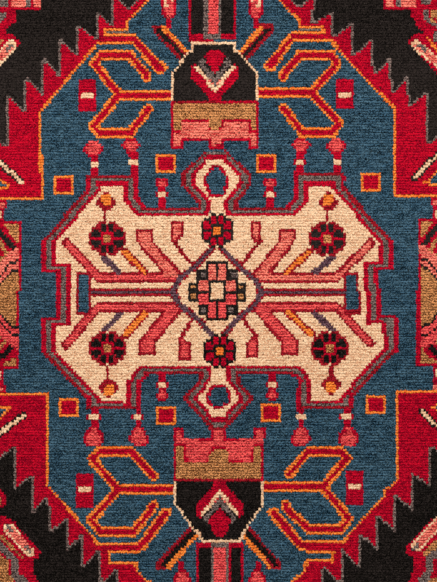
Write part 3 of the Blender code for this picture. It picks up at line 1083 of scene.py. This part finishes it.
def tuft_shape():
    """One knot's tuft, closed, in knot widths: two cut yarn ends side by side on one root.

    Returns its corners, its triangles, which corners are in the tip, and its cell of the
    bake map for each triangle's corner.
    """
    tuft = bmesh.new()
    bmesh.ops.create_cube(tuft, size=1.0)
    bmesh.ops.translate(tuft, vec=(0, 0, 0.5), verts=tuft.verts)
    upper = [vert for vert in tuft.verts if vert.co.z > 0.5]
    lower = [vert for vert in tuft.verts if vert.co.z < 0.5]
    bmesh.ops.scale(tuft, vec=ROOT_SIZE, verts=lower)
    bmesh.ops.scale(tuft, vec=TIP_SIZE, verts=upper)
    across = [edge for edge in tuft.edges
              if all(vert in upper for vert in edge.verts) and edge.verts[0].co.x * edge.verts[1].co.x < 0]
    pinched = bmesh.ops.subdivide_edges(tuft, edges=across, cuts=1)
    middle = [item for item in pinched["geom_inner"] if isinstance(item, bmesh.types.BMVert)]
    bmesh.ops.scale(tuft, vec=PINCH, verts=middle)
    ends = [face for face in tuft.faces if face.normal.z > 0.9]
    crowns = bmesh.ops.poke(tuft, faces=ends)["verts"]
    bmesh.ops.translate(tuft, vec=(0, 0, CROWN), verts=crowns)
    bmesh.ops.triangulate(tuft, faces=tuft.faces)
    bmesh.ops.recalc_face_normals(tuft, faces=tuft.faces)
    tuft.verts.index_update()
    corners = np.array([vert.co[:] for vert in tuft.verts])
    triangles = np.array([[vert.index for vert in face.verts] for face in tuft.faces])
    under = np.array([face.normal.z < -0.9 for face in tuft.faces])
    tuft.free()

    # In its cell the tuft is spread like an opened flower, with its underside beside it.
    tip = corners[:, 2] > 0.5
    spread = np.where(tip[:, None], CELL_TIP, CELL_ROOT) * corners[:, :2] + 0.5
    spread[:, 1] -= CELL_DROP
    cell = spread[triangles]
    cell[under] = (corners[:, :2] * CELL_UNDERSIDE + CELL_UNDERSIDE_MIDDLE)[triangles[under]]
    return corners, triangles, tip, cell


def stand_tufts(knots, which, sizes, corners, tip, random):
    """Where every corner of one wool's tufts lies."""
    count = len(which[0])
    x, y = knots.x[which], knots.y[which]

    # The pile parts at the cut edges: there the tips are lower and lean outwards.
    cut_x = inside_cut(np.sign(x) * WIDTH / 2, y)[0]
    cut_y = inside_cut(x, np.sign(y) * LENGTH / 2)[1]
    from_side = np.abs(cut_x) - np.abs(x)
    from_end = np.abs(cut_y) - np.abs(y)
    near = np.clip(np.minimum(from_side, from_end), NEAREST_CUT, RIM_ROUND)
    drop = RIM_ROUND - np.sqrt(RIM_ROUND**2 - (RIM_ROUND - near)**2)
    part_x = np.sign(x) * np.clip(1 - from_side / PARTING, 0, 1) * PARTING_LEAN
    part_y = np.sign(y) * np.clip(1 - from_end / PARTING, 0, 1) * PARTING_LEAN

    scatter = random.normal(0, TIP_SCATTER, (count, 2))
    lean = scatter + np.array([0.0, -sizes.lean]) + np.stack([part_x, part_y], 1)
    height = THICKNESS - drop - FOUNDATION - np.abs(random.normal(0, sizes.unevenness, count))
    turn = random.normal(0, KNOT_TURN, count)
    wide = random.uniform(*KNOT_SPREAD, count) * KNOT_MM / 1000
    long = random.uniform(*KNOT_SPREAD, count) * ROW_MM / 1000
    fray = random.uniform(-TIP_FRAY, TIP_FRAY, (count, len(corners), 3)) * tip[None, :, None]
    apart = random.normal(0, ENDS_APART, count)
    fray[..., 1] += apart[:, None] * np.sign(corners[None, :, 0]) * tip[None, :]

    across = corners[None, :, 0] * wide[:, None]
    along = corners[None, :, 1] * long[:, None]
    rise = corners[None, :, 2] / (1 + CROWN)
    root = np.where(tip[None, :], 0.0, 1.0)
    places = np.empty((count, len(corners), 3))
    places[..., 0] = x[:, None] + across * np.cos(turn)[:, None] - along * np.sin(turn)[:, None]
    places[..., 1] = y[:, None] + across * np.sin(turn)[:, None] + along * np.cos(turn)[:, None]
    places[..., :2] -= root[..., None] * lean[:, None, :]
    places[..., 2] = FOUNDATION - ROOT_SUNK + rise * (height[:, None] + ROOT_SUNK)
    places += fray
    places[..., 2] = np.minimum(places[..., 2], THICKNESS)
    places[..., :2] = np.clip(places[..., :2], LOWEST[:2], HIGHEST[:2])
    return places


def tie_tufts(knots, wool, sizes):
    """All of one wool's tufts as one mesh, each in its place and a little unlike the next."""
    which = knots.of(wool)
    count = len(which[0])
    random = np.random.default_rng(sizes.seed * 100 + WOOLS.index(wool))
    corners, triangles, tip, cell = tuft_shape()
    places = stand_tufts(knots, which, sizes, corners, tip, random)

    mesh = bpy.data.meshes.new(f"pile_{wool}")
    faces = (triangles[None] + (np.arange(count) * len(corners))[:, None, None]).reshape(-1)
    mesh.vertices.add(count * len(corners))
    mesh.vertices.foreach_set("co", places.ravel())
    mesh.loops.add(len(faces))
    mesh.loops.foreach_set("vertex_index", faces)
    mesh.polygons.add(len(faces) // 3)
    mesh.polygons.foreach_set("loop_start", np.arange(0, len(faces), 3))
    mesh.polygons.foreach_set("use_smooth", np.ones(len(faces) // 3, bool))

    ends = np.sign(corners[None, :, 0]) * random.normal(0, ENDS_TONE, count)[:, None]
    tone = knots.tone(wool, which)[:, None] + ends
    mesh.attributes.new("tone", "FLOAT", "POINT").data.foreach_set("value", tone.ravel())
    across_row = np.tile(np.sign(corners[:, 1].round(4)), count)
    mesh.attributes.new("across_row", "FLOAT", "POINT").data.foreach_set("value", across_row)

    # The bake map is a square of cells, one for each tuft.
    side = math.ceil(math.sqrt(count))
    number = np.arange(count)
    corner_of_cell = np.stack([number % side, number // side], 1)
    bake_map = (corner_of_cell[:, None, None, :] + cell[None]) / side
    mesh.uv_layers.new(name="OFBake").uv.foreach_set("vector", bake_map.ravel())
    mesh.update()
    mesh.validate()
    return mesh


def read_all(items, name, width=1, kind=float):
    """One property of all items of a mesh, with a row for each."""
    found = np.empty(len(items) * width, kind)
    items.foreach_get(name, found)
    return found.reshape(-1, width) if width > 1 else found


def slab():
    """The closed slab, with its underside in cells of a knot by half a row."""
    made = bmesh.new()
    bmesh.ops.create_grid(made, x_segments=KNOTS_ACROSS, y_segments=2 * ROWS_LONG, size=0.5)
    bmesh.ops.scale(made, vec=(WIDTH, LENGTH, 1), verts=made.verts)
    bmesh.ops.reverse_faces(made, faces=made.faces)
    rim = [edge for edge in made.edges if edge.is_boundary]
    wall = bmesh.ops.extrude_edge_only(made, edges=rim)["geom"]
    top = [item for item in wall if isinstance(item, bmesh.types.BMVert)]
    bmesh.ops.translate(made, vec=(0, 0, FOUNDATION), verts=top)
    top_edges = [item for item in wall if isinstance(item, bmesh.types.BMEdge)
                 and all(vert.co.z > FOUNDATION / 2 for vert in item.verts)]
    sides = [edge for edge in top_edges
             if abs(edge.verts[0].co.x - edge.verts[1].co.x) < 1e-6]
    bmesh.ops.bridge_loops(made, edges=sides)
    bmesh.ops.holes_fill(made, edges=[edge for edge in made.edges if edge.is_boundary], sides=0)
    bmesh.ops.recalc_face_normals(made, faces=made.faces)
    mesh = bpy.data.meshes.new("foundation")
    made.to_mesh(mesh)
    made.free()
    return mesh


def back_colours(knots, shades, middles, below):
    """Each face's colour: its knot's wool below, and cotton on the walls and the upper ground."""
    column = np.clip(((middles[:, 0] + WIDTH / 2) / KNOT).astype(int), 0, KNOTS_ACROSS - 1)
    row = np.clip(((LENGTH / 2 - middles[:, 1]) / ROW).astype(int), 0, ROWS_LONG - 1)
    wools = np.zeros(knots.dye.shape, int)
    for number, wool in enumerate(WOOLS):
        wools[knots.of(wool)] = number
    deep = np.array([shades[wool][0] for wool in WOOLS])[wools[row, column]]
    light = np.array([shades[wool][1] for wool in WOOLS])[wools[row, column]]
    took = np.clip(0.5 + BACK_TAKE * knots.single, 0, 1)[row, column][:, None]
    return np.where(below[:, None], deep * (1 - took) + light * took, linear(COTTON_DEEP))


def slab_bake_map(mesh, places, facing):
    """The underside whole, the upper ground small and each wall as a strip."""
    totals = read_all(mesh.polygons, "loop_total", kind=int)
    corner = read_all(mesh.loops, "vertex_index", kind=int)
    face = np.repeat(np.arange(len(totals)), totals)
    across = places[corner, 0] / WIDTH + 0.5
    along = places[corner, 1] / LENGTH + 0.5
    up = places[corner, 2] / FOUNDATION

    def strip(start, size, part, run):
        return np.stack([start + size * part, STRIP_UP[0] + STRIP_UP[1] * run], 1)

    bake_map = strip(*UNDERSIDE_STRIP, across, along)
    above = facing[face, 2] > 0.5
    bake_map[above] = strip(*GROUND_STRIP, across, along)[above]
    start, size = WALL_STRIP
    for number, (axis, sign) in enumerate(((0, -1), (0, 1), (1, -1), (1, 1))):
        wall = facing[face, axis] * sign > 0.5
        run = along if axis == 0 else across
        bake_map[wall] = strip(start + WALL_STEP * number, size, up, run)[wall]
    return bake_map


def weave_foundation(knots, shades):
    """The cotton slab: ribs of knot backs below, a plain ground under the pile above."""
    mesh = slab()
    places = read_all(mesh.vertices, "co", 3)
    facing = read_all(mesh.polygons, "normal", 3)
    colours = back_colours(knots, shades, read_all(mesh.polygons, "center", 3), facing[:, 2] < -0.5)
    mesh.attributes.new("dye", "FLOAT_COLOR", "FACE").data.foreach_set("color", colours.ravel())
    bake_map = slab_bake_map(mesh, places, facing)
    mesh.uv_layers.new(name="OFBake").uv.foreach_set("vector", bake_map.ravel())

    # The wefts pull the back in between the rows. The edges follow the cut, just inside the pile.
    lower = places[:, 2] < FOUNDATION / 2
    half_row = np.round((places[:, 1] + LENGTH / 2) / (ROW / 2)).astype(int)
    places[lower & (half_row % 2 == 0), 2] = WEFT_PULL
    x, y = inside_cut(places[:, 0], places[:, 1])
    places[:, 0] = x * (1 - SLAB_INSET / (WIDTH / 2))
    places[:, 1] = y * (1 - SLAB_INSET / (LENGTH / 2))
    mesh.vertices.foreach_set("co", places.ravel())
    mesh.polygons.foreach_set("use_smooth", np.zeros(len(mesh.polygons), bool))
    mesh.update()
    mesh.validate()
    return mesh


# ---------------------------------------------------------------- what a user may change
def shade_property(wool, number):
    """One colour of one wool."""
    end = ("Deep end", "Light end", "Fleck")[number]
    return bpy.props.FloatVectorProperty(
        name=f"{wool.capitalize()}, {end.lower()}", description=f"{end} of the {wool} wool",
        subtype="COLOR", size=4, min=0.0, max=1.0, default=linear(DYE_SHADES[wool][number]))


class RugColours(bpy.types.PropertyGroup):
    """The dyes of the wools."""

    __annotations__ = {f"{wool}_{number}": shade_property(wool, number)
                       for wool in DYE_SHADES for number in range(3)}


class RugPile(bpy.types.PropertyGroup):
    """How the pile stands."""

    lean: bpy.props.FloatProperty(
        name="Lean", description="How far the tips lie nearer than their roots", default=0.0010,
        min=0.0, max=0.003, subtype="DISTANCE", unit="LENGTH")
    unevenness: bpy.props.FloatProperty(
        name="Unevenness", description="How far the cut tips differ in height", default=0.00030,
        min=0.0, max=0.001, subtype="DISTANCE", unit="LENGTH")
    seed: bpy.props.IntProperty(
        name="Seed", description="Start of the chance differences between knots", default=3, min=0)


class RugStage(bpy.types.PropertyGroup):
    """The camera and the light."""

    lens: bpy.props.FloatProperty(
        name="Lens", description="Focal length of the camera", default=100.0, min=20.0, unit="CAMERA")
    floor_colour: bpy.props.FloatVectorProperty(
        name="Floor", description="Colour of the floor", subtype="COLOR", size=4, min=0.0, max=1.0,
        default=linear(FLOOR_COLOUR))
    light: bpy.props.FloatProperty(
        name="Light", description="Strength of the studio light, as a factor", default=1.0, min=0.0)


def place_piece(mesh, material):
    """Put a finished mesh in the scene as a piece of the rug."""
    piece = bpy.data.objects.new(mesh.name, mesh)
    mesh.materials.clear()
    mesh.materials.append(material)
    bpy.context.scene.collection.objects.link(piece)
    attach(piece, "root")
    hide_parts("rug")
    return piece


def chosen_shades(scene):
    """Every wool's three colours, as the user left them."""
    return {wool: [tuple(getattr(scene.rug_colours, f"{wool}_{number}")) for number in range(3)]
            for wool in WOOLS}


# ---------------------------------------------------------------- operators
class RUG_OT_foundation(bpy.types.Operator):
    """Weave the foundation, with the backs of the knots below"""

    bl_idname = "rug.foundation"
    bl_label = "Weave the foundation"

    def execute(self, context):
        scene = context.scene
        mesh = weave_foundation(Knots(scene.rug_pile.seed), chosen_shades(scene))
        place_piece(mesh, knotted_foundation())
        return {"FINISHED"}


class RUG_OT_pile(bpy.types.Operator):
    """Tie a tuft for every knot of the chart, one piece for each wool"""

    bl_idname = "rug.pile"
    bl_label = "Tie the pile"

    def execute(self, context):
        scene = context.scene
        knots = Knots(scene.rug_pile.seed)
        shades = chosen_shades(scene)
        for wool in WOOLS:
            mesh = tie_tufts(knots, wool, scene.rug_pile)
            place_piece(mesh, dyed_wool(wool, *shades[wool]))
        return {"FINISHED"}


class RUG_OT_stage(bpy.types.Operator):
    """Set the floor, the soft light and the camera, which looks straight down"""

    bl_idname = "rug.stage"
    bl_label = "Set the stage"

    def execute(self, context):
        scene = context.scene
        settings = scene.rug_stage
        lens = bpy.data.cameras.new("camera")
        lens.type = "PERSP"
        lens.lens = settings.lens
        lens.sensor_width = SENSOR_MM
        camera = bpy.data.objects.new("camera", lens)
        above = SHOWN_LONG_MM / 1000 * lens.lens / lens.sensor_width
        camera.location = (0.0, 0.0, THICKNESS + above)
        scene.collection.objects.link(camera)
        scene.camera = camera

        sheet = bmesh.new()
        bmesh.ops.create_grid(sheet, x_segments=8, y_segments=8, size=FLOOR_REACH)
        mesh = bpy.data.meshes.new("floor")
        sheet.to_mesh(mesh)
        sheet.free()
        floor = bpy.data.objects.new("floor", mesh)
        scene.collection.objects.link(floor)
        mesh.materials.append(painted_floor(tuple(settings.floor_colour)))

        # A broad soft light from the far end picks out the rows, and two weaker ones fill in.
        for name, (place, size, power) in LAMPS.items():
            lamp = bpy.data.lights.new(name, "AREA")
            lamp.shape = "DISK"
            lamp.size = size
            lamp.energy = power * settings.light
            light = bpy.data.objects.new(name, lamp)
            light.location = place
            light.rotation_euler = (-light.location).to_track_quat("-Z", "Y").to_euler()
            light.visible_camera = False
            scene.collection.objects.link(light)
        world = bpy.data.worlds.new("studio")
        world.use_nodes = True
        surround = world.node_tree.nodes["Background"]
        surround.inputs["Color"].default_value = linear(SURROUND_COLOUR)
        surround.inputs["Strength"].default_value = SURROUND_LIGHT * settings.light
        scene.world = world
        scene.view_settings.view_transform = "Standard"
        return {"FINISHED"}


class RUG_PT_panel(bpy.types.Panel):
    """The rug's sizes, dyes and steps"""

    bl_idname = "RUG_PT_panel"
    bl_label = "Hand-knotted rug"
    bl_space_type = "VIEW_3D"
    bl_region_type = "UI"
    bl_category = "Rug"

    def draw(self, context):
        layout = self.layout
        for group in (context.scene.rug_pile, context.scene.rug_colours, context.scene.rug_stage):
            box = layout.box()
            for name in group.__annotations__:
                box.prop(group, name)
        for operator in OPERATORS:
            layout.operator(operator.bl_idname)


GROUPS = {"rug_pile": RugPile, "rug_colours": RugColours, "rug_stage": RugStage}
OPERATORS = (RUG_OT_foundation, RUG_OT_pile, RUG_OT_stage)


def register():
    for name, group in GROUPS.items():
        bpy.utils.register_class(group)
        setattr(bpy.types.Scene, name, bpy.props.PointerProperty(type=group))
    for operator in OPERATORS:
        bpy.utils.register_class(operator)
    bpy.utils.register_class(RUG_PT_panel)


def unregister():
    bpy.utils.unregister_class(RUG_PT_panel)
    for operator in reversed(OPERATORS):
        bpy.utils.unregister_class(operator)
    for name, group in GROUPS.items():
        delattr(bpy.types.Scene, name)
        bpy.utils.unregister_class(group)


def main():
    register()
    bpy.ops.rug.foundation()
    bpy.ops.rug.pile()
    bpy.ops.rug.stage()


if __name__ == "__main__":
    main()
